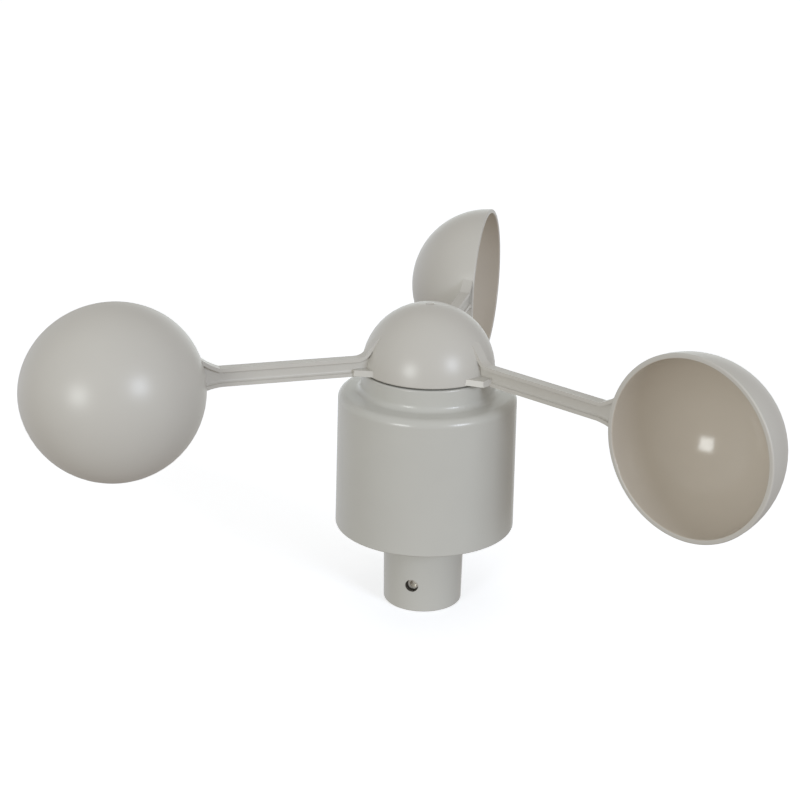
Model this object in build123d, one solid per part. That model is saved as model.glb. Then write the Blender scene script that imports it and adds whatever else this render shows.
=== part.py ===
"""Three-cup anemometer for a mast, with a reed switch in its housing.

Millimetres, +Z up. The origin is the centre of the stub's bottom face, where the mast socket opens,
on the axis that the rotor turns about. The mast set screw faces -Y.
"""

from build123d import *
import math
import os

# Rotor, seen from above: arm directions and the sizes of dome, cups and arms.
ARM_COUNT = 3
FIRST_ARM_AZIMUTH = 93.94
CUP_CENTRE_RADIUS = 70.2
CUP_RADIUS = 19.8
CUP_DEPTH = 19.7
CUP_MOUTH_Y = -0.3
CUP_WALL = 1.1
CUP_RIM_ROUND = 0.3
CUP_CENTRE_Z = 56.85
DOME_RADIUS = 15.05
DOME_CENTRE_Z = 56.6
DOME_BASE_Z = 56.75
DOME_BASE_ROUND = 0.3
DOME_WALL = 1.6
DOME_BOSS_RADIUS = 3.2
DOME_NOSE_RADIUS = 2.2
DOME_NOSE_LENGTH = 1.0
DOME_RIB_THICKNESS = 1.2
DOME_RIB_RISE = 4.0
DIMPLE_RADIUS = 1.0
DIMPLE_DEPTH = 0.6
ARM_BOTTOM_Z = 56.8
ARM_TOP_Z = 60.85
ARM_WIDTH = 2.6
ARM_RIB_WIDTH = 2.4
ARM_WEB = 1.0
ARM_FLANGE = 0.8
ARM_ROOT_ROUND = 0.6
ARM_HUB_END = 10.0
ARM_CUP_END = 54.0
LEDGE_MIDDLE_Y = 0.4
LEDGE_END_RADIUS = 18.3
LEDGE_END_WIDTH = 5.3
LEDGE_ROOT_RADIUS = 12.0
LEDGE_ROOT_WIDTH = 11.0
LEDGE_BOTTOM_Z = 57.1
LEDGE_HEIGHT = 1.3
LEDGE_SLOPE = 12.0
LEDGE_CORNER = 0.4

# The arm's side outline where it sweeps up the dome and where it flares into the cup: (radius, height).
SWEEP_START_RADIUS = 17.3
SWEEP_RADIUS = 3.0
SWEEP_ANGLE = 50.0
RIDGE_MIDDLE = (13.55, 63.85)
RIDGE_END = (12.2, 65.3)
TOP_FLARE = ((47.6, ARM_TOP_Z), (49.9, 61.95), (51.9, 63.4))
BOTTOM_FLARE = ((47.2, ARM_BOTTOM_Z), (49.4, 56.5), (51.4, 55.9))

# Housing: a drum with a collar above it and a stub below.
STUB_TOP_RADIUS = 9.35
STUB_END_RADIUS = 9.1
STUB_EDGE = 0.35
BODY_BOTTOM_Z = 19.3
BODY_TOP_Z = 51.15
BODY_CROWN = 0.5
BODY_TOP_RADIUS = 20.25
BODY_BOTTOM_RADIUS = 20.6
BODY_WALL = 1.85
BODY_TOP_EDGE = 1.8
BODY_BOTTOM_EDGE = 0.35
COLLAR_TOP_Z = 56.4
COLLAR_RADIUS = 15.15
COLLAR_WALL = 2.0
COLLAR_TOP_EDGE = 0.4
COLLAR_ROOT_ROUND = 1.3
TOP_PLATE = 2.4
RIB_THICKNESS = 1.5
RIB_DROP = 5.0

# Mast socket, cable hole and set screw in the base cover.
SOCKET_RADIUS = 6.0
SOCKET_DEPTH = 16.0
CABLE_RADIUS = 2.0
GROMMET_NECK_RADIUS = 3.2
GROMMET_NECK_LENGTH = 2.5
GROMMET_FLANGE_RADIUS = 4.6
GROMMET_FLANGE = 1.0
GROMMET_TOP_FLANGE = 1.2
GROMMET_PLAY = 0.1
SET_SCREW_Z = 6.5
SET_SCREW_RADIUS = 1.5
SET_SCREW_LENGTH = 1.8
SET_SCREW_PLAY = 0.1
SET_SCREW_CHAMFER = 0.25
SET_SCREW_SOCKET = 0.75
SET_SCREW_SOCKET_DEPTH = 1.1
COVER_THICKNESS = 3.2
COVER_RADIUS = 18.3
SEAL_SECTION_RADIUS = 0.65
SEAL_DEPTH = 1.1

# Shaft and its two 3 x 10 x 4 mm ball bearings.
SHAFT_RADIUS = 1.5
SHAFT_BOTTOM_Z = 31.2
SHAFT_TOP_Z = 67.5
SHAFT_CHAMFER = 0.25
BEARING_RADIUS = 5.0
BEARING_WIDTH = 4.0
UPPER_BEARING_Z = 51.3
LOWER_BEARING_Z = 38.0
TUBE_RADIUS = 7.2
TUBE_BOTTOM_Z = 37.4
TUBE_SHOULDER_RADIUS = 3.6
BALL_COUNT = 7
BALL_RADIUS = 0.794
PITCH_RADIUS = 3.25
BALL_PLAY = 0.02
GROOVE_RADIUS = 0.85
INNER_RING_RADIUS = 2.75
OUTER_RING_RADIUS = 3.8
OUTER_RING_EDGE = 0.2
SHIELD_INNER_RADIUS = 2.95
SHIELD_OUTER_RADIUS = 4.3
SHIELD_THICKNESS = 0.2
SHIELD_INSET = 0.15
CAGE_OUTER_RADIUS = 3.55
CAGE_INNER_RADIUS = 2.95
CAGE_BELOW_CENTRE = 1.2
CAGE_ABOVE_CENTRE = 0.3
CAGE_POCKET_PLAY = 0.05
CLIP_THICKNESS = 0.6
CLIP_RADIUS = 3.0
CLIP_GROOVE_RADIUS = 1.15
CLIP_MOUTH_WIDTH = 1.95
CLIP_HOLE_RADIUS = 0.6
CLIP_HOLE_ORBIT = 2.1

# Magnets under the shaft's end, and the board with the reed switch below them.
CARRIER_RADIUS = 9.0
CARRIER_BOTTOM_Z = 31.4
CARRIER_THICKNESS = 3.0
CARRIER_EDGE = 0.4
CARRIER_HUB_RADIUS = 3.2
CARRIER_HUB_BOTTOM_Z = 31.2
CARRIER_HUB_TOP_Z = 36.8
MAGNET_RADIUS = 2.5
MAGNET_THICKNESS = 2.0
MAGNET_ORBIT_RADIUS = 6.2
BOARD_BOTTOM_Z = 24.8
BOARD_THICKNESS = 1.6
BOARD_RADIUS = 16.0
BOARD_HOLE_RADIUS = 3.0
REED_Z = 28.3
REED_LENGTH = 14.0
REED_RADIUS = 1.1
REED_END_ROUND = 0.7
REED_BORE_RADIUS = 0.75
REED_SEAL_LENGTH = 2.0
LEAD_RADIUS = 0.25
LEAD_FOOT_X = 9.3
LEAD_FOOT_BELOW_BOARD = 0.6
LEAD_BEND_RADIUS = 0.9
BLADE_THICKNESS = 0.16
BLADE_WIDTH = 0.9
BLADE_OVERLAP = 1.2
BLADE_GAP = 0.08
BLADE_ROOT_LENGTH = 0.6

# Screws: three hold the base cover, three hold the board.
SCREW_COUNT = 3
COVER_SCREW_AZIMUTH = 90.0
COVER_SCREW_ORBIT = 14.2
COVER_SCREW_RADIUS = 1.1
COVER_SCREW_LENGTH = 9.0
COVER_SCREW_HEAD_RADIUS = 1.9
COVER_SCREW_HEAD = 1.4
COVER_SCREW_SINK = 1.6
COVER_SCREW_BOSS_RADIUS = 2.6
COVER_SCREW_BOSS_WEB = 1.8
COVER_SCREW_HOLE_PLAY = 0.1
COVER_SCREW_HEAD_PLAY = 0.2
BOARD_SCREW_AZIMUTH = 30.0
BOARD_SCREW_ORBIT = 10.5
BOARD_SCREW_RADIUS = 0.9
BOARD_SCREW_LENGTH = 4.5
BOARD_SCREW_HEAD_RADIUS = 1.7
BOARD_SCREW_HEAD = 1.2
BOARD_POST_RADIUS = 2.3
SLOT_CLEARANCE = 0.5

COVER_TOP_Z = BODY_BOTTOM_Z + COVER_THICKNESS
BODY_INNER_RADIUS = BODY_TOP_RADIUS - BODY_WALL
CEILING_Z = BODY_TOP_Z - TOP_PLATE
COLLAR_INNER_RADIUS = COLLAR_RADIUS - COLLAR_WALL
COLLAR_CEILING_Z = COLLAR_TOP_Z - COLLAR_WALL
DOME_INNER_RADIUS = DOME_RADIUS - DOME_WALL
BOARD_TOP_Z = BOARD_BOTTOM_Z + BOARD_THICKNESS
CUP_BALL_Y = CUP_MOUTH_Y + CUP_DEPTH - CUP_RADIUS
ARM_MIDDLE_Y = ARM_WIDTH / 2
SEAL_Z = COVER_TOP_Z - SEAL_DEPTH
GROMMET_SEAT_Z = SOCKET_DEPTH + GROMMET_FLANGE
GROMMET_NECK_TOP_Z = GROMMET_SEAT_Z + GROMMET_NECK_LENGTH
GROMMET_TOP_Z = GROMMET_NECK_TOP_Z + GROMMET_TOP_FLANGE
REED_SEAL_END = REED_LENGTH / 2 - REED_SEAL_LENGTH


def disc(radius, bottom, top):
    """A solid cylinder on the Z axis between two heights."""
    return Pos(0, 0, bottom) * Cylinder(radius, top - bottom, align=(Align.CENTER, Align.CENTER, Align.MIN))


def cone(bottom_radius, top_radius, bottom, top):
    """A cut-off cone on the axis, between two heights."""
    shape = Cone(bottom_radius, top_radius, top - bottom, align=(Align.CENTER, Align.CENTER, Align.MIN))
    return Pos(0, 0, bottom) * shape


def tube(outer, inner, bottom, top):
    """A hollow cylinder on the Z axis."""
    return disc(outer, bottom, top) - disc(inner, bottom, top)


def block(x, y, z):
    """A box from three pairs of low and high coordinates."""
    sizes = [pair[1] - pair[0] for pair in (x, y, z)]
    return Pos(x[0], y[0], z[0]) * Box(*sizes, align=(Align.MIN, Align.MIN, Align.MIN))


def ring_of(piece, count, first_azimuth):
    """Copies of a piece turned about the Z axis, evenly spaced."""
    return [Rot(0, 0, first_azimuth + index * 360 / count) * piece for index in range(count)]


def edges_at(part, height, kind=GeomType.CIRCLE):
    """The part's edges of one kind that lie at one height."""
    return part.edges().filter_by(kind).filter_by_position(Axis.Z, height - 1e-3, height + 1e-3)


def largest(edges):
    """The edge of the largest radius."""
    return edges.sort_by(SortBy.RADIUS)[-1]


# Rotor


def cup_ball(radius):
    """A ball of the given radius at the centre of the cup on the +X arm."""
    return Pos(CUP_CENTRE_RADIUS, CUP_BALL_Y, CUP_CENTRE_Z) * Sphere(radius)


def cup():
    """One hemispherical cup on the +X arm, its mouth facing -Y."""
    shell = cup_ball(CUP_RADIUS) - cup_ball(CUP_RADIUS - CUP_WALL)
    reach = CUP_RADIUS + CUP_WALL
    behind_mouth = block(
        (CUP_CENTRE_RADIUS - reach, CUP_CENTRE_RADIUS + reach),
        (CUP_MOUTH_Y, reach),
        (CUP_CENTRE_Z - reach, CUP_CENTRE_Z + reach),
    )
    bowl = shell & behind_mouth
    circles = bowl.edges().filter_by(GeomType.CIRCLE)
    rim = circles.filter_by_position(Axis.Y, CUP_MOUTH_Y - 1e-3, CUP_MOUTH_Y + 1e-3)
    return fillet(rim, CUP_RIM_ROUND)


def arm_side():
    """The arm's outline seen from the side, from inside the dome's wall to inside the cup's wall."""
    sweep = math.radians(SWEEP_ANGLE)

    def on_sweep(angle):
        return (
            SWEEP_START_RADIUS - SWEEP_RADIUS * math.sin(angle),
            ARM_TOP_Z + SWEEP_RADIUS * (1 - math.cos(angle)),
        )

    hub_top = (ARM_HUB_END, RIDGE_END[1])
    cup_top = (ARM_CUP_END, TOP_FLARE[-1][1])
    cup_bottom = (ARM_CUP_END, BOTTOM_FLARE[-1][1])
    with BuildSketch(Plane.XZ) as sketch:
        with BuildLine():
            Polyline(BOTTOM_FLARE[0], (ARM_HUB_END, ARM_BOTTOM_Z), hub_top, RIDGE_END)
            ThreePointArc(RIDGE_END, RIDGE_MIDDLE, on_sweep(sweep))
            ThreePointArc(on_sweep(sweep), on_sweep(sweep / 2), on_sweep(0))
            Line(on_sweep(0), TOP_FLARE[0])
            ThreePointArc(*TOP_FLARE)
            Polyline(TOP_FLARE[-1], cup_top, cup_bottom, BOTTOM_FLARE[-1])
            ThreePointArc(*reversed(BOTTOM_FLARE))
        make_face()
    return sketch.sketch


def plate(face, y_low, y_high):
    """A side outline given thickness between two Y coordinates."""
    return Pos(0, (y_low + y_high) / 2, 0) * extrude(face, amount=(y_high - y_low) / 2, both=True)


def arm():
    """One arm along +X: a web with a wide flange below and a narrower rib above."""
    side = arm_side()
    margin = side - offset(side, amount=-ARM_FLANGE, kind=Kind.INTERSECTION)
    middle_z = (ARM_BOTTOM_Z + ARM_TOP_Z) / 2
    lower_half = block((0, CUP_CENTRE_RADIUS), (0, ARM_WIDTH), (0, middle_z))
    upper_half = block((0, CUP_CENTRE_RADIUS), (0, ARM_WIDTH), (middle_z, RIDGE_END[1]))
    web = plate(side, ARM_MIDDLE_Y - ARM_WEB / 2, ARM_MIDDLE_Y + ARM_WEB / 2)
    flange = plate(margin, 0, ARM_WIDTH) & lower_half
    rib = plate(margin, ARM_MIDDLE_Y - ARM_RIB_WIDTH / 2, ARM_MIDDLE_Y + ARM_RIB_WIDTH / 2) & upper_half
    part = web + flange + rib
    roots = part.edges().filter_by(GeomType.LINE).filter_by(Axis.X).filter_by(
        lambda edge: abs(abs(edge.center().Y - ARM_MIDDLE_Y) - ARM_WEB / 2) < 1e-3
    )
    return fillet(roots, ARM_ROOT_ROUND)


def arm_ledge():
    """The tab with sloping sides that widens the arm's foot towards the dome."""
    outline = [
        (radius, LEDGE_MIDDLE_Y + side * width / 2)
        for radius, width, side in (
            (LEDGE_ROOT_RADIUS, LEDGE_ROOT_WIDTH, -1),
            (LEDGE_END_RADIUS, LEDGE_END_WIDTH, -1),
            (LEDGE_END_RADIUS, LEDGE_END_WIDTH, 1),
            (LEDGE_ROOT_RADIUS, LEDGE_ROOT_WIDTH, 1),
        )
    ]
    base = make_face(Polyline(*outline, close=True))
    base = fillet(base.vertices().sort_by(Axis.X)[-2:], LEDGE_CORNER)
    return extrude(Pos(0, 0, LEDGE_BOTTOM_Z) * base, amount=LEDGE_HEIGHT, taper=LEDGE_SLOPE)


def dome_ball(radius):
    """A ball of the given radius at the dome's centre."""
    return Pos(0, 0, DOME_CENTRE_Z) * Sphere(radius)


def dome():
    """The hollow hub dome with its moulding dimple, shaft boss and stiffening ribs."""
    top_z = DOME_CENTRE_Z + DOME_RADIUS
    cap = dome_ball(DOME_RADIUS) & disc(DOME_RADIUS, DOME_BASE_Z, top_z)
    cap = fillet(largest(edges_at(cap, DOME_BASE_Z)), DOME_BASE_ROUND)
    hollow = dome_ball(DOME_INNER_RADIUS)
    nose_top = DOME_BASE_Z + DOME_NOSE_LENGTH
    boss = disc(DOME_BOSS_RADIUS, nose_top, top_z) & hollow
    nose = disc(DOME_NOSE_RADIUS, UPPER_BEARING_Z + BEARING_WIDTH, nose_top)
    half_rib = DOME_RIB_THICKNESS / 2
    rib = block((0, DOME_RADIUS), (-half_rib, half_rib), (DOME_BASE_Z + DOME_RIB_RISE, top_z)) & hollow
    part = cap - hollow + boss + nose + ring_of(rib, ARM_COUNT, FIRST_ARM_AZIMUTH + 180 / ARM_COUNT)
    dimple_ball_radius = (DIMPLE_RADIUS**2 + DIMPLE_DEPTH**2) / (2 * DIMPLE_DEPTH)
    part -= Pos(0, 0, top_z - DIMPLE_DEPTH + dimple_ball_radius) * Sphere(dimple_ball_radius)
    return part - disc(SHAFT_RADIUS, UPPER_BEARING_Z, SHAFT_TOP_Z)


def wind_cup_rotor():
    """Dome, three arms and three cups: one moulding."""
    spoke = arm() + arm_ledge() - dome_ball(DOME_RADIUS - DOME_WALL / 2)
    spoke = spoke - cup_ball(CUP_RADIUS - CUP_WALL / 2) + cup()
    return dome() + ring_of(spoke, ARM_COUNT, FIRST_ARM_AZIMUTH)


# Shaft and bearings


def rotor_shaft():
    """The steel shaft, chamfered at both ends, with a groove for its clip."""
    shaft = disc(SHAFT_RADIUS, SHAFT_BOTTOM_Z, SHAFT_TOP_Z)
    ends = edges_at(shaft, SHAFT_BOTTOM_Z) + edges_at(shaft, SHAFT_TOP_Z)
    shaft = chamfer(ends, SHAFT_CHAMFER)
    return shaft - tube(CLIP_RADIUS, CLIP_GROOVE_RADIUS, LOWER_BEARING_Z - CLIP_THICKNESS, LOWER_BEARING_Z)


def shaft_retaining_clip():
    """An open clip in the shaft's groove, against the lower bearing's inner ring."""
    bottom = LOWER_BEARING_Z - CLIP_THICKNESS
    ring = tube(CLIP_RADIUS, CLIP_GROOVE_RADIUS, bottom, LOWER_BEARING_Z)
    mouth = block((0, CLIP_RADIUS), (-CLIP_MOUTH_WIDTH / 2, CLIP_MOUTH_WIDTH / 2), (bottom, LOWER_BEARING_Z))
    tool_hole = Pos(CLIP_HOLE_ORBIT, 0, 0) * disc(CLIP_HOLE_RADIUS, bottom, LOWER_BEARING_Z)
    return ring - mouth - ring_of(tool_hole, 2, 90)


def ball_race(centre_radius, middle_z):
    """The doughnut that a ring's groove is cut with."""
    return Pos(0, 0, middle_z) * Torus(centre_radius, GROOVE_RADIUS)


def inner_ring(bottom):
    """A bearing's inner ring."""
    ring = tube(INNER_RING_RADIUS, SHAFT_RADIUS, bottom, bottom + BEARING_WIDTH)
    centre_radius = PITCH_RADIUS - BALL_RADIUS - BALL_PLAY + GROOVE_RADIUS
    return ring - ball_race(centre_radius, bottom + BEARING_WIDTH / 2)


def shield_heights(bottom):
    """The bottom of each of a bearing's two shields."""
    return (bottom + SHIELD_INSET, bottom + BEARING_WIDTH - SHIELD_INSET - SHIELD_THICKNESS)


def outer_ring(bottom):
    """A bearing's outer ring, with a seat for each shield."""
    top = bottom + BEARING_WIDTH
    ring = tube(BEARING_RADIUS, OUTER_RING_RADIUS, bottom, top)
    outer_edges = [largest(edges_at(ring, bottom)), largest(edges_at(ring, top))]
    ring = fillet(outer_edges, OUTER_RING_EDGE)
    low_shield, high_shield = shield_heights(bottom)
    ring -= disc(SHIELD_OUTER_RADIUS, bottom, low_shield + SHIELD_THICKNESS)
    ring -= disc(SHIELD_OUTER_RADIUS, high_shield, top)
    centre_radius = PITCH_RADIUS + BALL_RADIUS + BALL_PLAY - GROOVE_RADIUS
    return ring - ball_race(centre_radius, bottom + BEARING_WIDTH / 2)


def shields(bottom):
    """A bearing's two pressed dust shields."""
    return [
        tube(SHIELD_OUTER_RADIUS, SHIELD_INNER_RADIUS, low, low + SHIELD_THICKNESS)
        for low in shield_heights(bottom)
    ]


def balls(bottom):
    """A bearing's balls."""
    ball = Pos(PITCH_RADIUS, 0, bottom + BEARING_WIDTH / 2) * Sphere(BALL_RADIUS)
    return ring_of(ball, BALL_COUNT, 0)


def ball_cage(bottom):
    """A crown cage that the balls snap into from above."""
    middle = bottom + BEARING_WIDTH / 2
    pocket = Pos(PITCH_RADIUS, 0, middle) * Sphere(BALL_RADIUS + CAGE_POCKET_PLAY)
    bottom_z = middle - CAGE_BELOW_CENTRE
    crown = tube(CAGE_OUTER_RADIUS, CAGE_INNER_RADIUS, bottom_z, middle + CAGE_ABOVE_CENTRE)
    return crown - ring_of(pocket, BALL_COUNT, 0)


# Magnets


def magnet_pockets():
    """The two places where a magnet sits in the carrier."""
    magnet = disc(MAGNET_RADIUS, CARRIER_BOTTOM_Z, CARRIER_BOTTOM_Z + MAGNET_THICKNESS)
    return ring_of(Pos(MAGNET_ORBIT_RADIUS, 0, 0) * magnet, 2, FIRST_ARM_AZIMUTH)


def magnet_carrier():
    """The plastic disc pressed on the shaft's lower end."""
    top = CARRIER_BOTTOM_Z + CARRIER_THICKNESS
    wheel = disc(CARRIER_RADIUS, CARRIER_BOTTOM_Z, top)
    wheel = fillet(edges_at(wheel, CARRIER_BOTTOM_Z) + edges_at(wheel, top), CARRIER_EDGE)
    hub = disc(CARRIER_HUB_RADIUS, CARRIER_HUB_BOTTOM_Z, CARRIER_HUB_TOP_Z)
    return wheel + hub - disc(SHAFT_RADIUS, CARRIER_HUB_BOTTOM_Z, CARRIER_HUB_TOP_Z) - magnet_pockets()


# Housing


def screw_boss():
    """One column for a cover screw, on +X, with the web that ties it to the drum's wall."""
    column = Pos(COVER_SCREW_ORBIT, 0, 0) * disc(COVER_SCREW_BOSS_RADIUS, COVER_TOP_Z, CEILING_Z)
    half_web = COVER_SCREW_BOSS_WEB / 2
    web = block((COVER_SCREW_ORBIT, BODY_INNER_RADIUS), (-half_web, half_web), (COVER_TOP_Z, CEILING_Z))
    hole = Pos(COVER_SCREW_ORBIT, 0, 0) * disc(
        COVER_SCREW_RADIUS, COVER_TOP_Z, BODY_BOTTOM_Z + COVER_SCREW_SINK + COVER_SCREW_LENGTH
    )
    return column + web - hole


def housing_shell():
    """The drum and collar, with the bearing tube, ribs and screw bosses inside."""
    drum = cone(BODY_BOTTOM_RADIUS, BODY_TOP_RADIUS, BODY_BOTTOM_Z, BODY_TOP_Z)
    crown_top = BODY_TOP_Z + BODY_CROWN
    drum += cone(BODY_TOP_RADIUS, COLLAR_RADIUS, BODY_TOP_Z, crown_top)
    drum = fillet(edges_at(drum, BODY_TOP_Z), BODY_TOP_EDGE)
    drum = fillet(edges_at(drum, BODY_BOTTOM_Z), BODY_BOTTOM_EDGE)
    collar = disc(COLLAR_RADIUS, BODY_TOP_Z - 1, COLLAR_TOP_Z)
    collar = fillet(largest(edges_at(collar, COLLAR_TOP_Z)), COLLAR_TOP_EDGE)
    outside = drum + collar
    outside = fillet(largest(edges_at(outside, crown_top)), COLLAR_ROOT_ROUND)
    inside = disc(BODY_INNER_RADIUS, BODY_BOTTOM_Z, CEILING_Z) + disc(
        COLLAR_INNER_RADIUS, CEILING_Z, COLLAR_CEILING_Z
    )
    bearing_tube = disc(TUBE_RADIUS, TUBE_BOTTOM_Z, COLLAR_CEILING_Z)
    rib = block(
        (TUBE_RADIUS - 1, BODY_INNER_RADIUS),
        (-RIB_THICKNESS / 2, RIB_THICKNESS / 2),
        (CEILING_Z - RIB_DROP, COLLAR_CEILING_Z),
    )
    ribs = [turned & inside for turned in ring_of(rib, SCREW_COUNT, BOARD_SCREW_AZIMUTH)]
    part = outside - inside + bearing_tube + ribs + ring_of(screw_boss(), SCREW_COUNT, COVER_SCREW_AZIMUTH)
    part -= disc(TUBE_SHOULDER_RADIUS, TUBE_BOTTOM_Z, COLLAR_TOP_Z)
    part -= disc(BEARING_RADIUS, UPPER_BEARING_Z, COLLAR_TOP_Z)
    return part - disc(BEARING_RADIUS, TUBE_BOTTOM_Z, LOWER_BEARING_Z + BEARING_WIDTH)


def stub():
    """The slightly tapered stub below the cover, still solid."""
    post = cone(STUB_END_RADIUS, STUB_TOP_RADIUS, 0, BODY_BOTTOM_Z)
    return fillet(edges_at(post, 0), STUB_EDGE)


def set_screw_line(radius, near, far):
    """A cylinder on the set screw's axis, between two distances from the rotor's axis."""
    axis = Plane(origin=(0, -near, SET_SCREW_Z), z_dir=(0, -1, 0))
    return axis * Cylinder(radius, far - near, align=(Align.CENTER, Align.CENTER, Align.MIN))


def seal_ring():
    """The cover's round seal, squeezed between its groove and the drum's wall."""
    centre_radius = BODY_INNER_RADIUS - SEAL_SECTION_RADIUS
    return Pos(0, 0, SEAL_Z) * Torus(centre_radius, SEAL_SECTION_RADIUS)


def base_cover():
    """The drum's lid with the mast stub, the board's posts, the seal groove and the cable hole."""
    groove_floor = BODY_INNER_RADIUS - 2 * SEAL_SECTION_RADIUS
    lid = disc(COVER_RADIUS, BODY_BOTTOM_Z, COVER_TOP_Z)
    lid -= tube(COVER_RADIUS, groove_floor, SEAL_Z - SEAL_SECTION_RADIUS, SEAL_Z + SEAL_SECTION_RADIUS)
    post = Pos(BOARD_SCREW_ORBIT, 0, 0) * disc(BOARD_POST_RADIUS, COVER_TOP_Z, BOARD_BOTTOM_Z)
    part = lid + stub() + ring_of(post, SCREW_COUNT, BOARD_SCREW_AZIMUTH)
    part -= disc(SOCKET_RADIUS, 0, SOCKET_DEPTH)
    part -= disc(GROMMET_FLANGE_RADIUS, SOCKET_DEPTH, GROMMET_SEAT_Z)
    part -= disc(GROMMET_NECK_RADIUS, GROMMET_SEAT_Z, GROMMET_NECK_TOP_Z)
    part -= disc(SOCKET_RADIUS, GROMMET_NECK_TOP_Z, COVER_TOP_Z)
    part -= set_screw_line(SET_SCREW_RADIUS, 0, STUB_TOP_RADIUS)
    head_seat = BODY_BOTTOM_Z + COVER_SCREW_SINK
    cover_screw_hole = Pos(COVER_SCREW_ORBIT, 0, 0) * (
        disc(COVER_SCREW_HEAD_RADIUS + COVER_SCREW_HEAD_PLAY, BODY_BOTTOM_Z, head_seat)
        + disc(COVER_SCREW_RADIUS + COVER_SCREW_HOLE_PLAY, head_seat, COVER_TOP_Z)
    )
    part -= ring_of(cover_screw_hole, SCREW_COUNT, COVER_SCREW_AZIMUTH)
    board_screw_hole = Pos(BOARD_SCREW_ORBIT, 0, 0) * disc(
        BOARD_SCREW_RADIUS, BOARD_TOP_Z - BOARD_SCREW_LENGTH, BOARD_BOTTOM_Z
    )
    return part - ring_of(board_screw_hole, SCREW_COUNT, BOARD_SCREW_AZIMUTH)


def cable_grommet():
    """The rubber grommet between the socket and the drum, for the signal cable."""
    bottom_z = SOCKET_DEPTH + GROMMET_PLAY
    lower = disc(GROMMET_FLANGE_RADIUS - GROMMET_PLAY, bottom_z, GROMMET_SEAT_Z)
    neck = disc(GROMMET_NECK_RADIUS, GROMMET_SEAT_Z, GROMMET_NECK_TOP_Z)
    upper = disc(GROMMET_FLANGE_RADIUS, GROMMET_NECK_TOP_Z, GROMMET_TOP_Z)
    body = fillet(edges_at(lower, bottom_z), GROMMET_FLANGE / 3)
    body += neck + fillet(edges_at(upper, GROMMET_TOP_Z), GROMMET_TOP_FLANGE / 3)
    return body - disc(CABLE_RADIUS, SOCKET_DEPTH, GROMMET_TOP_Z)


# Fasteners


def cross_recess(radius, depth):
    """The cross slot of a screw head, cut downwards from Z = 0."""
    arm_shape = block((-radius, radius), (-radius * 0.22, radius * 0.22), (-depth, 0))
    return arm_shape + Rot(0, 0, 90) * arm_shape


def pan_head_screw(shank_radius, shank_length, head_radius, head_height):
    """A pan-head screw pointing down, its head resting on Z = 0."""
    head = fillet(edges_at(disc(head_radius, 0, head_height), head_height), head_height * 0.45)
    tip = chamfer(edges_at(disc(shank_radius, -shank_length, 0), -shank_length), shank_radius * 0.5)
    return head + tip - Pos(0, 0, head_height) * cross_recess(head_radius * 0.6, head_height * 0.6)


def cover_screws():
    """The screws that hold the base cover, driven from below."""
    screw = pan_head_screw(COVER_SCREW_RADIUS, COVER_SCREW_LENGTH, COVER_SCREW_HEAD_RADIUS, COVER_SCREW_HEAD)
    placed = Pos(COVER_SCREW_ORBIT, 0, BODY_BOTTOM_Z + COVER_SCREW_SINK) * Rot(180, 0, 0) * screw
    return ring_of(placed, SCREW_COUNT, COVER_SCREW_AZIMUTH)


def board_screws():
    """The screws that hold the board on its posts."""
    screw = pan_head_screw(BOARD_SCREW_RADIUS, BOARD_SCREW_LENGTH, BOARD_SCREW_HEAD_RADIUS, BOARD_SCREW_HEAD)
    return ring_of(Pos(BOARD_SCREW_ORBIT, 0, BOARD_TOP_Z) * screw, SCREW_COUNT, BOARD_SCREW_AZIMUTH)


def mast_set_screw():
    """The headless screw with a hexagon socket that clamps the mast pin."""
    near = SOCKET_RADIUS + SET_SCREW_PLAY
    far = near + SET_SCREW_LENGTH
    body = set_screw_line(SET_SCREW_RADIUS, near, far)
    body = chamfer(body.edges().filter_by(GeomType.CIRCLE), SET_SCREW_CHAMFER)
    socket_plane = Plane(origin=(0, -far, SET_SCREW_Z), z_dir=(0, 1, 0))
    hexagon = socket_plane * RegularPolygon(SET_SCREW_SOCKET, 6, major_radius=False)
    return body - extrude(hexagon, amount=SET_SCREW_SOCKET_DEPTH)


# Electronics


def circuit_board():
    """The round board, notched for the screw bosses."""
    notch_radius = COVER_SCREW_BOSS_RADIUS + SLOT_CLEARANCE
    notch = Pos(COVER_SCREW_ORBIT, 0, 0) * disc(notch_radius, BOARD_BOTTOM_Z, BOARD_TOP_Z)
    screw_hole = Pos(BOARD_SCREW_ORBIT, 0, 0) * disc(BOARD_SCREW_RADIUS, BOARD_BOTTOM_Z, BOARD_TOP_Z)
    board = tube(BOARD_RADIUS, BOARD_HOLE_RADIUS, BOARD_BOTTOM_Z, BOARD_TOP_Z)
    board -= ring_of(notch, SCREW_COUNT, COVER_SCREW_AZIMUTH)
    board -= ring_of(screw_hole, SCREW_COUNT, BOARD_SCREW_AZIMUTH)
    lead_hole = disc(LEAD_RADIUS, BOARD_BOTTOM_Z, BOARD_TOP_Z)
    return board - [Pos(side * LEAD_FOOT_X, -MAGNET_ORBIT_RADIUS, 0) * lead_hole for side in (-1, 1)]


def reed_axis():
    """The reed switch's own frame: its Z axis along +X, under the magnets' path."""
    return Plane(origin=(0, -MAGNET_ORBIT_RADIUS, REED_Z), x_dir=(0, 1, 0), z_dir=(1, 0, 0))


def reed_switch_glass():
    """The sealed glass tube around the two blades."""
    half = REED_LENGTH / 2
    envelope = fillet(disc(REED_RADIUS, -half, half).edges().filter_by(GeomType.CIRCLE), REED_END_ROUND)
    chamber = disc(REED_BORE_RADIUS, -REED_SEAL_END, REED_SEAL_END)
    return reed_axis() * (envelope - chamber - disc(LEAD_RADIUS, -half, half))


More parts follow.
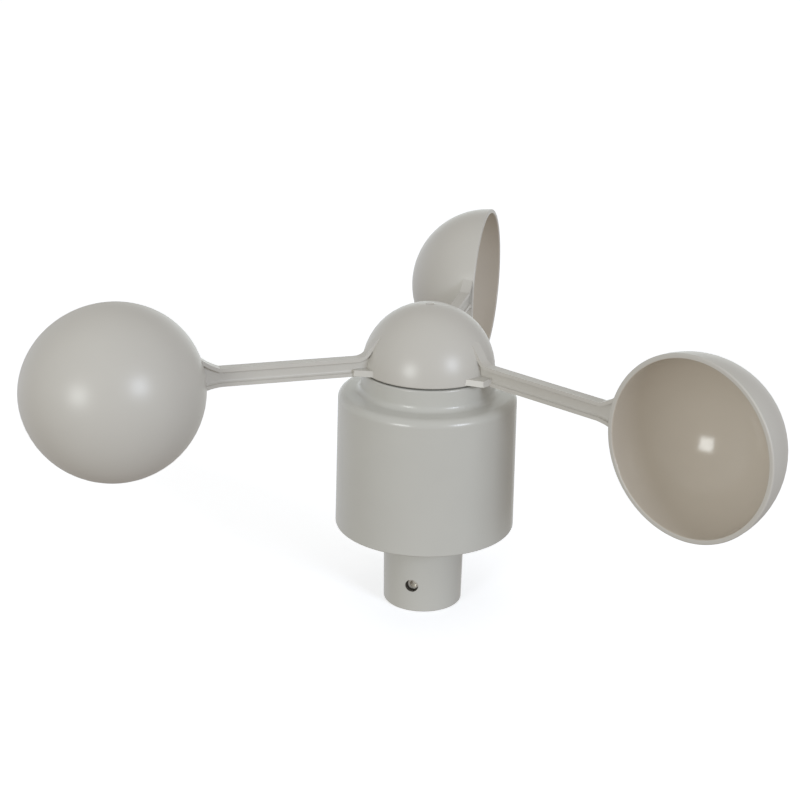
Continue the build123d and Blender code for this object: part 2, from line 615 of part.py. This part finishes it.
def reed_blade(side):
    """The flat blade of the lead on +X, above (side 1) or below (side -1) the switch's axis."""
    near, far = sorted((side * BLADE_GAP / 2, side * (BLADE_GAP / 2 + BLADE_THICKNESS)))
    return block((-BLADE_OVERLAP / 2, REED_SEAL_END), (-BLADE_WIDTH / 2, BLADE_WIDTH / 2), (near, far))


def reed_lead(side):
    """The lead on +X: a foot through the board, a bend, and a flat blade inside the glass."""
    corner = (LEAD_FOOT_X, 0, 0)
    foot = (LEAD_FOOT_X, 0, BOARD_BOTTOM_Z - LEAD_FOOT_BELOW_BOARD - REED_Z)
    root = REED_SEAL_END - BLADE_ROOT_LENGTH
    with BuildPart() as wire:
        with BuildLine() as path:
            FilletPolyline((root, 0, 0), corner, foot, radius=LEAD_BEND_RADIUS)
        with BuildSketch(Plane(origin=(root, 0, 0), z_dir=(1, 0, 0))):
            Circle(LEAD_RADIUS)
        sweep(path=path.wires()[0])
    return wire.part + reed_blade(side)


def reed_switch_leads():
    """Both leads, one from each end, whose blades overlap with a gap."""
    place = Pos(0, -MAGNET_ORBIT_RADIUS, REED_Z)
    return [place * reed_lead(1), place * mirror(reed_lead(-1), about=Plane.YZ)]


PIECES = {
    "wind_cup_rotor": wind_cup_rotor(),
    "rotor_shaft": rotor_shaft(),
    "shaft_retaining_clip": shaft_retaining_clip(),
    "upper_bearing_inner_ring": inner_ring(UPPER_BEARING_Z),
    "upper_bearing_outer_ring": outer_ring(UPPER_BEARING_Z),
    "upper_bearing_balls": balls(UPPER_BEARING_Z),
    "upper_bearing_cage": ball_cage(UPPER_BEARING_Z),
    "upper_bearing_shields": shields(UPPER_BEARING_Z),
    "lower_bearing_inner_ring": inner_ring(LOWER_BEARING_Z),
    "lower_bearing_outer_ring": outer_ring(LOWER_BEARING_Z),
    "lower_bearing_balls": balls(LOWER_BEARING_Z),
    "lower_bearing_cage": ball_cage(LOWER_BEARING_Z),
    "lower_bearing_shields": shields(LOWER_BEARING_Z),
    "magnet_carrier": magnet_carrier(),
    "trigger_magnets": magnet_pockets(),
    "housing_shell": housing_shell(),
    "base_cover": base_cover(),
    "cover_seal": seal_ring(),
    "cover_screws": cover_screws(),
    "cable_grommet": cable_grommet(),
    "mast_set_screw": mast_set_screw(),
    "circuit_board": circuit_board(),
    "board_screws": board_screws(),
    "reed_switch_glass": reed_switch_glass(),
    "reed_switch_leads": reed_switch_leads(),
}

os.makedirs("parts", exist_ok=True)
for name, shape in PIECES.items():
    solids = shape if isinstance(shape, list) else shape.solids()
    export_step(Compound(label=name, children=list(solids)), f"parts/{name}.step")
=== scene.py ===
"""Looks for the cup anemometer: camera, light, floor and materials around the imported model."""

import math

import bpy
from mathutils import Matrix, Vector

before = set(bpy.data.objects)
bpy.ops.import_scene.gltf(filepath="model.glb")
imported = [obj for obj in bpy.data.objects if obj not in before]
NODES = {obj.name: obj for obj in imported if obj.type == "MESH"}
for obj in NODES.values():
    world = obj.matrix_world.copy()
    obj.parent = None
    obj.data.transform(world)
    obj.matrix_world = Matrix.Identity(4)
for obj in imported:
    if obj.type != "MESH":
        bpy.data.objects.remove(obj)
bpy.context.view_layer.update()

MILLIMETRE = 0.001

# Camera: a long lens, a little above the cups and to the right of the set screw.
CAMERA_AZIMUTH = math.radians(14.85)
CAMERA_ELEVATION = math.radians(20.14)
CAMERA_ROLL = math.radians(1.93)
CAMERA_DISTANCE = 0.3829
CAMERA_TARGET = Vector((0.00614, 0.00163, 0.04714))
LENS = 75.93
SENSOR = 36.0
SHIFT = (-0.0691, 0.0104)

# Softboxes: azimuth from the camera to its right, elevation, distance and side in metres, coloured watts.
SOFTBOXES = {
    "key_left": (-31, 10, 3.0, 0.9, (26.0, 27.0, 26.8)),
    "key_right": (45, 20, 3.0, 0.9, (26.0, 28.0, 32.0)),
}

# The room's light: azimuth from the camera to its right, elevation, how narrow, and colour.
ROOM = {
    "all_round": (0, 90, 0, (0.345, 0.312, 0.285)),
    "backdrop": (178, 0, 10, (1.10, 1.22, 1.24)),
    "reflector_left": (-135, 0, 7, (0.43, 0.485, 0.585)),
    "left": (-85, 15, 5, (0.155, 0.185, 0.21)),
    "right": (105, 0, 5, (0.09, 0.105, 0.115)),
    "front_right": (60, 5, 8, (0.15, 0.19, 0.19)),
    "ceiling": (0, 90, 3, (0.24, 0.26, 0.25)),
}

# Balls inside which the colour changes to a painted shade and the roughness changes, in millimetres: each
# cup's hollow, and the set screw's hole.
CUP_AZIMUTHS = (93.94, 213.94, 333.94)
CUP_CENTRE = Vector((70.2, -0.4, 56.85))
CUP_BALL_RADIUS = 18.8
CUP_BALL_EDGE = 0.2
SCREW_HOLE_CENTRE = Vector((0, -7.3, 6.5))
SCREW_BALL_RADIUS = 2.33
SCREW_BALL_EDGE = 0.15

# Linear colours.
ROTOR_GREY = (0.60, 0.585, 0.545)
# Painted a little darker and warmer inside the cups, for the shade and the warm light bouncing round in
# the hollows.
CUP_INSIDE_PAINTED_GREY = (0.61, 0.56, 0.485)
HOUSING_GREY = (0.58, 0.58, 0.545)
# Painted shade in the set screw's hole, where its wall lies in shadow.
SCREW_HOLE_PAINTED_SHADE = (0.06, 0.05, 0.04)
FLOOR_WHITE = (0.89, 0.92, 0.97)

# Floor: half its side in metres, its roughness and tint change, and how much light it gives off itself.
FLOOR_REACH = 3.0
FLOOR_ROUGHNESS = 0.8
FLOOR_TINT = 0.02
FLOOR_GLOW = 0.5

# Roughness of the mouldings.
ROTOR_ROUGHNESS = 0.33
CUP_INSIDE_ROUGHNESS = 0.16
HOUSING_ROUGHNESS = 0.24
# Roughness of the painted shade in the set screw's hole.
SCREW_HOLE_SHADE_ROUGHNESS = 0.5

# Moulded plastic: waves a metre of its flow marks and of its skin, how far the flow marks shift
# its colour and its roughness, and the skin's relief in metres.
FLOW_SCALE = 45
SKIN_SCALE = 5000
FLOW_TINT = 0.06
FLOW_GLOSS = 0.15
SKIN_DEPTH = 0.003 * MILLIMETRE

# Metal: how far its marks shift its roughness; waves a metre of the stains on turned metal and how far
# they shift its colour; how far a mottled coat shifts the colour, and how many grains a mottle spans.
METAL_GLOSS = 0.4
STAIN_SCALE = 300
STAIN_TINT = 0.12
MOTTLE_TINT = 0.2
GRAINS_A_MOTTLE = 6
LINE_DEPTH = 0.003 * MILLIMETRE
GRAIN_DEPTH = 0.004 * MILLIMETRE


def direction(azimuth, elevation):
    """A unit vector; azimuth is counted from the camera to its right, in degrees like elevation."""
    turn = CAMERA_AZIMUTH + math.radians(azimuth)
    rise = math.radians(elevation)
    return Vector((math.sin(turn) * math.cos(rise), -math.cos(turn) * math.cos(rise), math.sin(rise)))


def look_at(place, target, roll=0.0):
    """A matrix whose -Z axis points from place to target."""
    back = (place - target).normalized()
    right = Vector((0, 0, 1)).cross(back).normalized()
    up = back.cross(right)
    rolled_right = right * math.cos(roll) + up * math.sin(roll)
    rolled_up = up * math.cos(roll) - right * math.sin(roll)
    turn = Matrix((rolled_right, rolled_up, back)).transposed().to_4x4()
    return Matrix.Translation(place) @ turn


def add_object(name, data):
    """Puts new data into the scene as an object."""
    thing = bpy.data.objects.new(name, data)
    bpy.context.scene.collection.objects.link(thing)
    return thing


def add_camera():
    """The camera at the photograph's viewing angle."""
    data = bpy.data.cameras.new("camera")
    data.sensor_width = SENSOR
    data.lens = LENS
    data.shift_x, data.shift_y = SHIFT
    data.clip_start = 0.01
    camera = add_object("camera", data)
    place = CAMERA_TARGET + direction(0, math.degrees(CAMERA_ELEVATION)) * CAMERA_DISTANCE
    camera.matrix_world = look_at(place, CAMERA_TARGET, CAMERA_ROLL)
    bpy.context.scene.camera = camera


def add_softboxes():
    """The square area lights, all facing the object."""
    for name, (azimuth, elevation, distance, side, colour) in SOFTBOXES.items():
        data = bpy.data.lights.new(name, "AREA")
        data.size = side
        data.energy = max(colour)
        data.color = [share / max(colour) for share in colour]
        light = add_object(name, data)
        place = CAMERA_TARGET + direction(azimuth, elevation) * distance
        light.matrix_world = look_at(place, CAMERA_TARGET)


def add_room():
    """The light from the room: a white backdrop and dimmer sides, each fading round the room."""
    world = bpy.data.worlds.new("room")
    bpy.context.scene.world = world
    world.use_nodes = True
    tree = world.node_tree
    view = tree.nodes.new("ShaderNodeTexCoord")
    lights = []
    for name, (azimuth, elevation, narrowness, colour) in ROOM.items():
        facing = tree.nodes.new("ShaderNodeVectorMath")
        facing.operation = "DOT_PRODUCT"
        facing.inputs[1].default_value = direction(azimuth, elevation)
        link(tree, view, "Generated", facing, 0)
        front_half = math_node(tree, "MAXIMUM", facing.outputs["Value"], 0.0)
        share = math_node(tree, "POWER", front_half, narrowness)
        light = tree.nodes.new("ShaderNodeVectorMath")
        light.name = name
        light.operation = "SCALE"
        light.inputs[0].default_value = colour
        tree.links.new(share, light.inputs["Scale"])
        lights.append(light)
    total = lights[0]
    for light in lights[1:]:
        both = tree.nodes.new("ShaderNodeVectorMath")
        both.operation = "ADD"
        link(tree, total, "Vector", both, 0)
        link(tree, light, "Vector", both, 1)
        total = both
    link(tree, total, "Vector", tree.nodes["Background"], "Color")
    bpy.context.scene.view_settings.view_transform = "Standard"


def add_floor():
    """A plain white floor under the stub that throws no light of its own on the object."""
    mesh = bpy.data.meshes.new("floor")
    corners = [(x * FLOOR_REACH, y * FLOOR_REACH, 0) for x, y in ((-1, -1), (1, -1), (1, 1), (-1, 1))]
    mesh.from_pydata(corners, [], [(0, 1, 2, 3)])
    floor = add_object("floor", mesh)
    floor.visible_diffuse = False
    floor.visible_glossy = False
    material = plastic("floor_white", FLOOR_WHITE, FLOOR_ROUGHNESS, FLOOR_TINT)
    shader = material.node_tree.nodes["Principled BSDF"]
    shader.inputs["Emission Color"].default_value = (1, 1, 1, 1)
    shader.inputs["Emission Strength"].default_value = FLOOR_GLOW
    floor.data.materials.append(material)


# Node helpers


def new_material(name):
    """An empty node material with its Principled shader."""
    material = bpy.data.materials.new(name)
    material.use_nodes = True
    return material, material.node_tree, material.node_tree.nodes["Principled BSDF"]


def link(tree, source, output, target, socket):
    """Joins one node's output to another node's input."""
    tree.links.new(source.outputs[output], target.inputs[socket])


def math_node(tree, operation, first, second):
    """A Math node's output; the first input is another node's output, the second one too or a number."""
    node = tree.nodes.new("ShaderNodeMath")
    node.operation = operation
    tree.links.new(first, node.inputs[0])
    if isinstance(second, (int, float)):
        node.inputs[1].default_value = second
    else:
        tree.links.new(second, node.inputs[1])
    return node.outputs["Value"]


def stretched_place(tree, stretch):
    """The part's own coordinates, scaled by three factors."""
    place = tree.nodes.new("ShaderNodeTexCoord")
    mapping = tree.nodes.new("ShaderNodeMapping")
    mapping.inputs["Scale"].default_value = stretch
    link(tree, place, "Object", mapping, "Vector")
    return mapping


def noise(tree, scale, detail=2.0, stretch=(1, 1, 1)):
    """A noise texture over the part's own coordinates; scale is in waves a metre."""
    node = tree.nodes.new("ShaderNodeTexNoise")
    node.inputs["Scale"].default_value = scale
    node.inputs["Detail"].default_value = detail
    link(tree, stretched_place(tree, stretch), "Vector", node, "Vector")
    return node.outputs["Fac"]


def spread(tree, source, low, high):
    """A 0 to 1 value mapped to a range, with no hard ends."""
    node = tree.nodes.new("ShaderNodeMapRange")
    node.clamp = False
    node.inputs["To Min"].default_value = low
    node.inputs["To Max"].default_value = high
    tree.links.new(source, node.inputs["Value"])
    return node.outputs["Result"]


def blend(tree, factor, first, second):
    """A colour between two colours, each a tuple or another blend's output."""
    node = tree.nodes.new("ShaderNodeMix")
    node.data_type = "RGBA"
    tree.links.new(factor, node.inputs["Factor"])
    for socket, colour in ((node.inputs[6], first), (node.inputs[7], second)):
        if isinstance(colour, tuple):
            socket.default_value = (*colour, 1)
        else:
            tree.links.new(colour, socket)
    return node.outputs[2]


def shade(colour, change):
    """A colour made lighter or darker by a share of itself."""
    return tuple(part * (1 + change) for part in colour)


def drift(tree, factor, colour, change):
    """A colour that drifts either side of the given one."""
    return blend(tree, factor, shade(colour, -change), shade(colour, change))


def add_bump(tree, shader, height, depth, strength=1.0):
    """Relief of the given depth in metres on the shader."""
    node = tree.nodes.new("ShaderNodeBump")
    node.inputs["Strength"].default_value = strength
    node.inputs["Distance"].default_value = depth
    tree.links.new(height, node.inputs["Height"])
    link(tree, node, "Normal", shader, "Normal")


def add_look(tree, shader, colour, roughness):
    """Links the colour and roughness outputs to the shader."""
    tree.links.new(colour, shader.inputs["Base Color"])
    tree.links.new(roughness, shader.inputs["Roughness"])


def marked_gloss(tree, marks, roughness, change):
    """A roughness that shifts either side of the given one with some marks."""
    return spread(tree, marks, roughness * (1 - change), roughness * (1 + change))


# Materials


def plastic(name, colour, roughness, change=FLOW_TINT, flow_scale=FLOW_SCALE, skin_scale=SKIN_SCALE):
    """Moulded plastic: faint flow marks in its colour and gloss, and a fine skin."""
    material, tree, shader = new_material(name)
    flow = noise(tree, flow_scale, detail=3.0)
    gloss = marked_gloss(tree, flow, roughness, FLOW_GLOSS)
    add_look(tree, shader, drift(tree, flow, colour, change), gloss)
    add_bump(tree, shader, noise(tree, skin_scale, detail=1.0), SKIN_DEPTH)
    return material


def inside_balls(tree, centres, radius, edge):
    """1 inside some balls of one radius and 0 outside, over a soft edge; all in millimetres."""
    place = tree.nodes.new("ShaderNodeTexCoord")
    distances = []
    for centre in centres:
        distance = tree.nodes.new("ShaderNodeVectorMath")
        distance.operation = "DISTANCE"
        distance.inputs[1].default_value = centre * MILLIMETRE
        link(tree, place, "Object", distance, 0)
        distances.append(distance.outputs["Value"])
    nearest = distances[0]
    for distance in distances[1:]:
        nearest = math_node(tree, "MINIMUM", nearest, distance)
    mask = tree.nodes.new("ShaderNodeMapRange")
    mask.interpolation_type = "SMOOTHSTEP"
    mask.inputs["From Min"].default_value = (radius + edge / 2) * MILLIMETRE
    mask.inputs["From Max"].default_value = (radius - edge / 2) * MILLIMETRE
    tree.links.new(nearest, mask.inputs["Value"])
    return mask.outputs["Result"]


def plastic_with_painted_shade(name, outside, inside, centres, radius, edge):
    """Moulded plastic with a second look inside some balls; each look is a colour and a roughness, and
    the second colour is painted light and shade.
    """
    material, tree, shader = new_material(name)
    # The mask marks where the painted light and shade go.
    mask = inside_balls(tree, centres, radius, edge)
    flow = noise(tree, FLOW_SCALE, detail=3.0)
    tones = [drift(tree, flow, colour, FLOW_TINT) for colour, _ in (outside, inside)]
    gloss = tree.nodes.new("ShaderNodeMix")
    tree.links.new(mask, gloss.inputs["Factor"])
    for socket, (_, roughness) in (("A", outside), ("B", inside)):
        tree.links.new(marked_gloss(tree, flow, roughness, FLOW_GLOSS), gloss.inputs[socket])
    add_look(tree, shader, blend(tree, mask, *tones), gloss.outputs["Result"])
    add_bump(tree, shader, noise(tree, SKIN_SCALE, detail=1.0), SKIN_DEPTH)
    return material


def cup_rotor_plastic():
    """The rotor's plastic: satin outside, and polished inside the cups, painted a little darker and
    warmer there for the shade and bounced light in the hollows.
    """
    centres = [Matrix.Rotation(math.radians(azimuth), 3, "Z") @ CUP_CENTRE for azimuth in CUP_AZIMUTHS]
    plain_and_painted_looks = (ROTOR_GREY, ROTOR_ROUGHNESS), (CUP_INSIDE_PAINTED_GREY, CUP_INSIDE_ROUGHNESS)
    return plastic_with_painted_shade("rotor_plastic", *plain_and_painted_looks, centres, CUP_BALL_RADIUS, CUP_BALL_EDGE)


def cover_plastic():
    """The base cover's plastic: like the drum's, with dark shade painted in the set screw's hole."""
    plain_and_painted_looks = (HOUSING_GREY, HOUSING_ROUGHNESS), (SCREW_HOLE_PAINTED_SHADE, SCREW_HOLE_SHADE_ROUGHNESS)
    ball = [SCREW_HOLE_CENTRE], SCREW_BALL_RADIUS, SCREW_BALL_EDGE
    return plastic_with_painted_shade("cover_plastic", *plain_and_painted_looks, *ball)


def turned_metal(name, colour, roughness, line_scale, stretch=(1, 1, 60)):
    """Metal with fine tool marks; stretch is large along the axis that the marks step along."""
    material, tree, shader = new_material(name)
    shader.inputs["Metallic"].default_value = 1.0
    lines = noise(tree, line_scale, stretch=stretch)
    stain = noise(tree, STAIN_SCALE)
    gloss = marked_gloss(tree, lines, roughness, METAL_GLOSS)
    add_look(tree, shader, drift(tree, stain, colour, STAIN_TINT), gloss)
    add_bump(tree, shader, lines, LINE_DEPTH)
    return material


def mottled_metal(name, colour, roughness, grain_scale):
    """Plated or rolled metal: a mottled coat over a fine grain."""
    material, tree, shader = new_material(name)
    shader.inputs["Metallic"].default_value = 1.0
    mottle = noise(tree, grain_scale / GRAINS_A_MOTTLE)
    gloss = marked_gloss(tree, mottle, roughness, METAL_GLOSS)
    add_look(tree, shader, drift(tree, mottle, colour, MOTTLE_TINT), gloss)
    add_bump(tree, shader, noise(tree, grain_scale), GRAIN_DEPTH)
    return material


def rubber(name, colour):
    """Matt rubber with a dusty bloom and a fine grain."""
    material, tree, shader = new_material(name)
    bloom_scale = 400
    grain_scale = 6000
    grain_depth = 0.01 * MILLIMETRE
    bloom = noise(tree, bloom_scale, detail=3.0)
    dusty = blend(tree, bloom, shade(colour, -0.5), shade(colour, 1.0))
    add_look(tree, shader, dusty, spread(tree, bloom, 0.6, 0.95))
    add_bump(tree, shader, noise(tree, grain_scale), grain_depth)
    return material


def stripes(tree, scale, axis):
    """Even waves across the part along one axis, scale in waves a metre."""
    waves_at_scale_one = 20 / (2 * math.pi)
    node = tree.nodes.new("ShaderNodeTexWave")
    node.bands_direction = axis
    node.inputs["Scale"].default_value = scale / waves_at_scale_one
    node.inputs["Distortion"].default_value = 0.3
    link(tree, stretched_place(tree, (1, 1, 1)), "Vector", node, "Vector")
    return node.outputs["Fac"]


def laminate(name, mask_green, copper_green):
    """A circuit board: solder mask over woven glass, with lighter copper areas under the mask."""
    material, tree, shader = new_material(name)
    weave_period = 0.6 * MILLIMETRE
    pad_length = 5 * MILLIMETRE
    pad_width = 2.2 * MILLIMETRE
    pad_gap = 0.35 * MILLIMETRE
    copper_depth = 0.03 * MILLIMETRE
    across = stripes(tree, 1 / weave_period, "X")
    along = stripes(tree, 1 / weave_period, "Y")
    weave = math_node(tree, "MULTIPLY", across, along)
    copper = tree.nodes.new("ShaderNodeTexBrick")
    copper.inputs["Scale"].default_value = 1.0
    copper.inputs["Brick Width"].default_value = pad_length
    copper.inputs["Row Height"].default_value = pad_width
    copper.inputs["Mortar Size"].default_value = pad_gap
    copper.inputs["Mortar Smooth"].default_value = 0.3
    link(tree, stretched_place(tree, (1, 1, 1)), "Vector", copper, "Vector")
    ground = drift(tree, weave, mask_green, 0.25)
    tone = blend(tree, copper.outputs["Fac"], ground, copper_green)
    add_look(tree, shader, tone, spread(tree, weave, 0.25, 0.4))
    add_bump(tree, shader, copper.outputs["Fac"], copper_depth, strength=0.6)
    shader.inputs["Coat Weight"].default_value = 0.4
    return material


def glass(name, tint):
    """Clear glass with drawn streaks along the tube."""
    material, tree, shader = new_material(name)
    shader.inputs["Transmission Weight"].default_value = 0.92
    shader.inputs["IOR"].default_value = 1.5
    streak_scale = 2500
    streak_depth = 0.002 * MILLIMETRE
    along_tube = (0.05, 1, 1)
    streaks = noise(tree, streak_scale, stretch=along_tube)
    add_look(tree, shader, drift(tree, streaks, tint, 0.06), spread(tree, streaks, 0.02, 0.1))
    add_bump(tree, shader, streaks, streak_depth)
    return material


def set_material(material, *names):
    """Gives CAD nodes a material."""
    for name in names:
        mesh = NODES[name].data
        mesh.materials.clear()
        mesh.materials.append(material)


def both_bearings(*pieces):
    """The node names of some pieces in both bearings."""
    return [f"{place}_bearing_{piece}" for place in ("upper", "lower") for piece in pieces]


def dress_plastics():
    """The mouldings, the rubber, the board and the glass."""
    carrier_black = (0.018, 0.018, 0.02)
    board_greens = (0.012, 0.09, 0.028), (0.03, 0.17, 0.06)
    carrier = plastic("carrier_plastic", carrier_black, 0.5, change=0.3, flow_scale=300, skin_scale=3000)
    set_material(cup_rotor_plastic(), "wind_cup_rotor")
    set_material(plastic("housing_plastic", HOUSING_GREY, HOUSING_ROUGHNESS), "housing_shell")
    set_material(cover_plastic(), "base_cover")
    set_material(carrier, "magnet_carrier")
    set_material(rubber("seal_rubber", (0.016, 0.016, 0.016)), "cover_seal", "cable_grommet")
    set_material(laminate("board_laminate", *board_greens), "circuit_board")
    set_material(glass("reed_glass", (0.80, 0.95, 0.86)), "reed_switch_glass")


def dress_metals():
    """The metal pieces: each colour is followed by a roughness and by the marks' waves a metre."""
    along_screw = (1, 60, 1)
    screw_steel = turned_metal("set_screw_steel", (0.78, 0.76, 0.71), 0.38, 900, along_screw)
    bearing_steel = turned_metal("bearing_steel", (0.70, 0.71, 0.72), 0.12, 1500)
    ball_steel = mottled_metal("ball_steel", (0.74, 0.75, 0.76), 0.06, 6000)
    cage_steel = mottled_metal("cage_steel", (0.50, 0.50, 0.48), 0.35, 5000)
    fastener_steel = mottled_metal("fastener_steel", (0.55, 0.56, 0.57), 0.32, 5000)
    set_material(turned_metal("shaft_steel", (0.62, 0.62, 0.61), 0.22, 900), "rotor_shaft")
    set_material(bearing_steel, *both_bearings("inner_ring", "outer_ring"))
    set_material(ball_steel, *both_bearings("balls"))
    set_material(cage_steel, *both_bearings("cage", "shields"))
    set_material(fastener_steel, "cover_screws", "board_screws")
    set_material(mottled_metal("clip_steel", (0.22, 0.22, 0.23), 0.38, 4000), "shaft_retaining_clip")
    set_material(screw_steel, "mast_set_screw")
    set_material(mottled_metal("magnet_nickel", (0.66, 0.64, 0.60), 0.18, 4000), "trigger_magnets")
    set_material(mottled_metal("reed_metal", (0.66, 0.63, 0.56), 0.25, 6000), "reed_switch_leads")


add_camera()
add_softboxes()
add_room()
add_floor()
dress_plastics()
dress_metals()
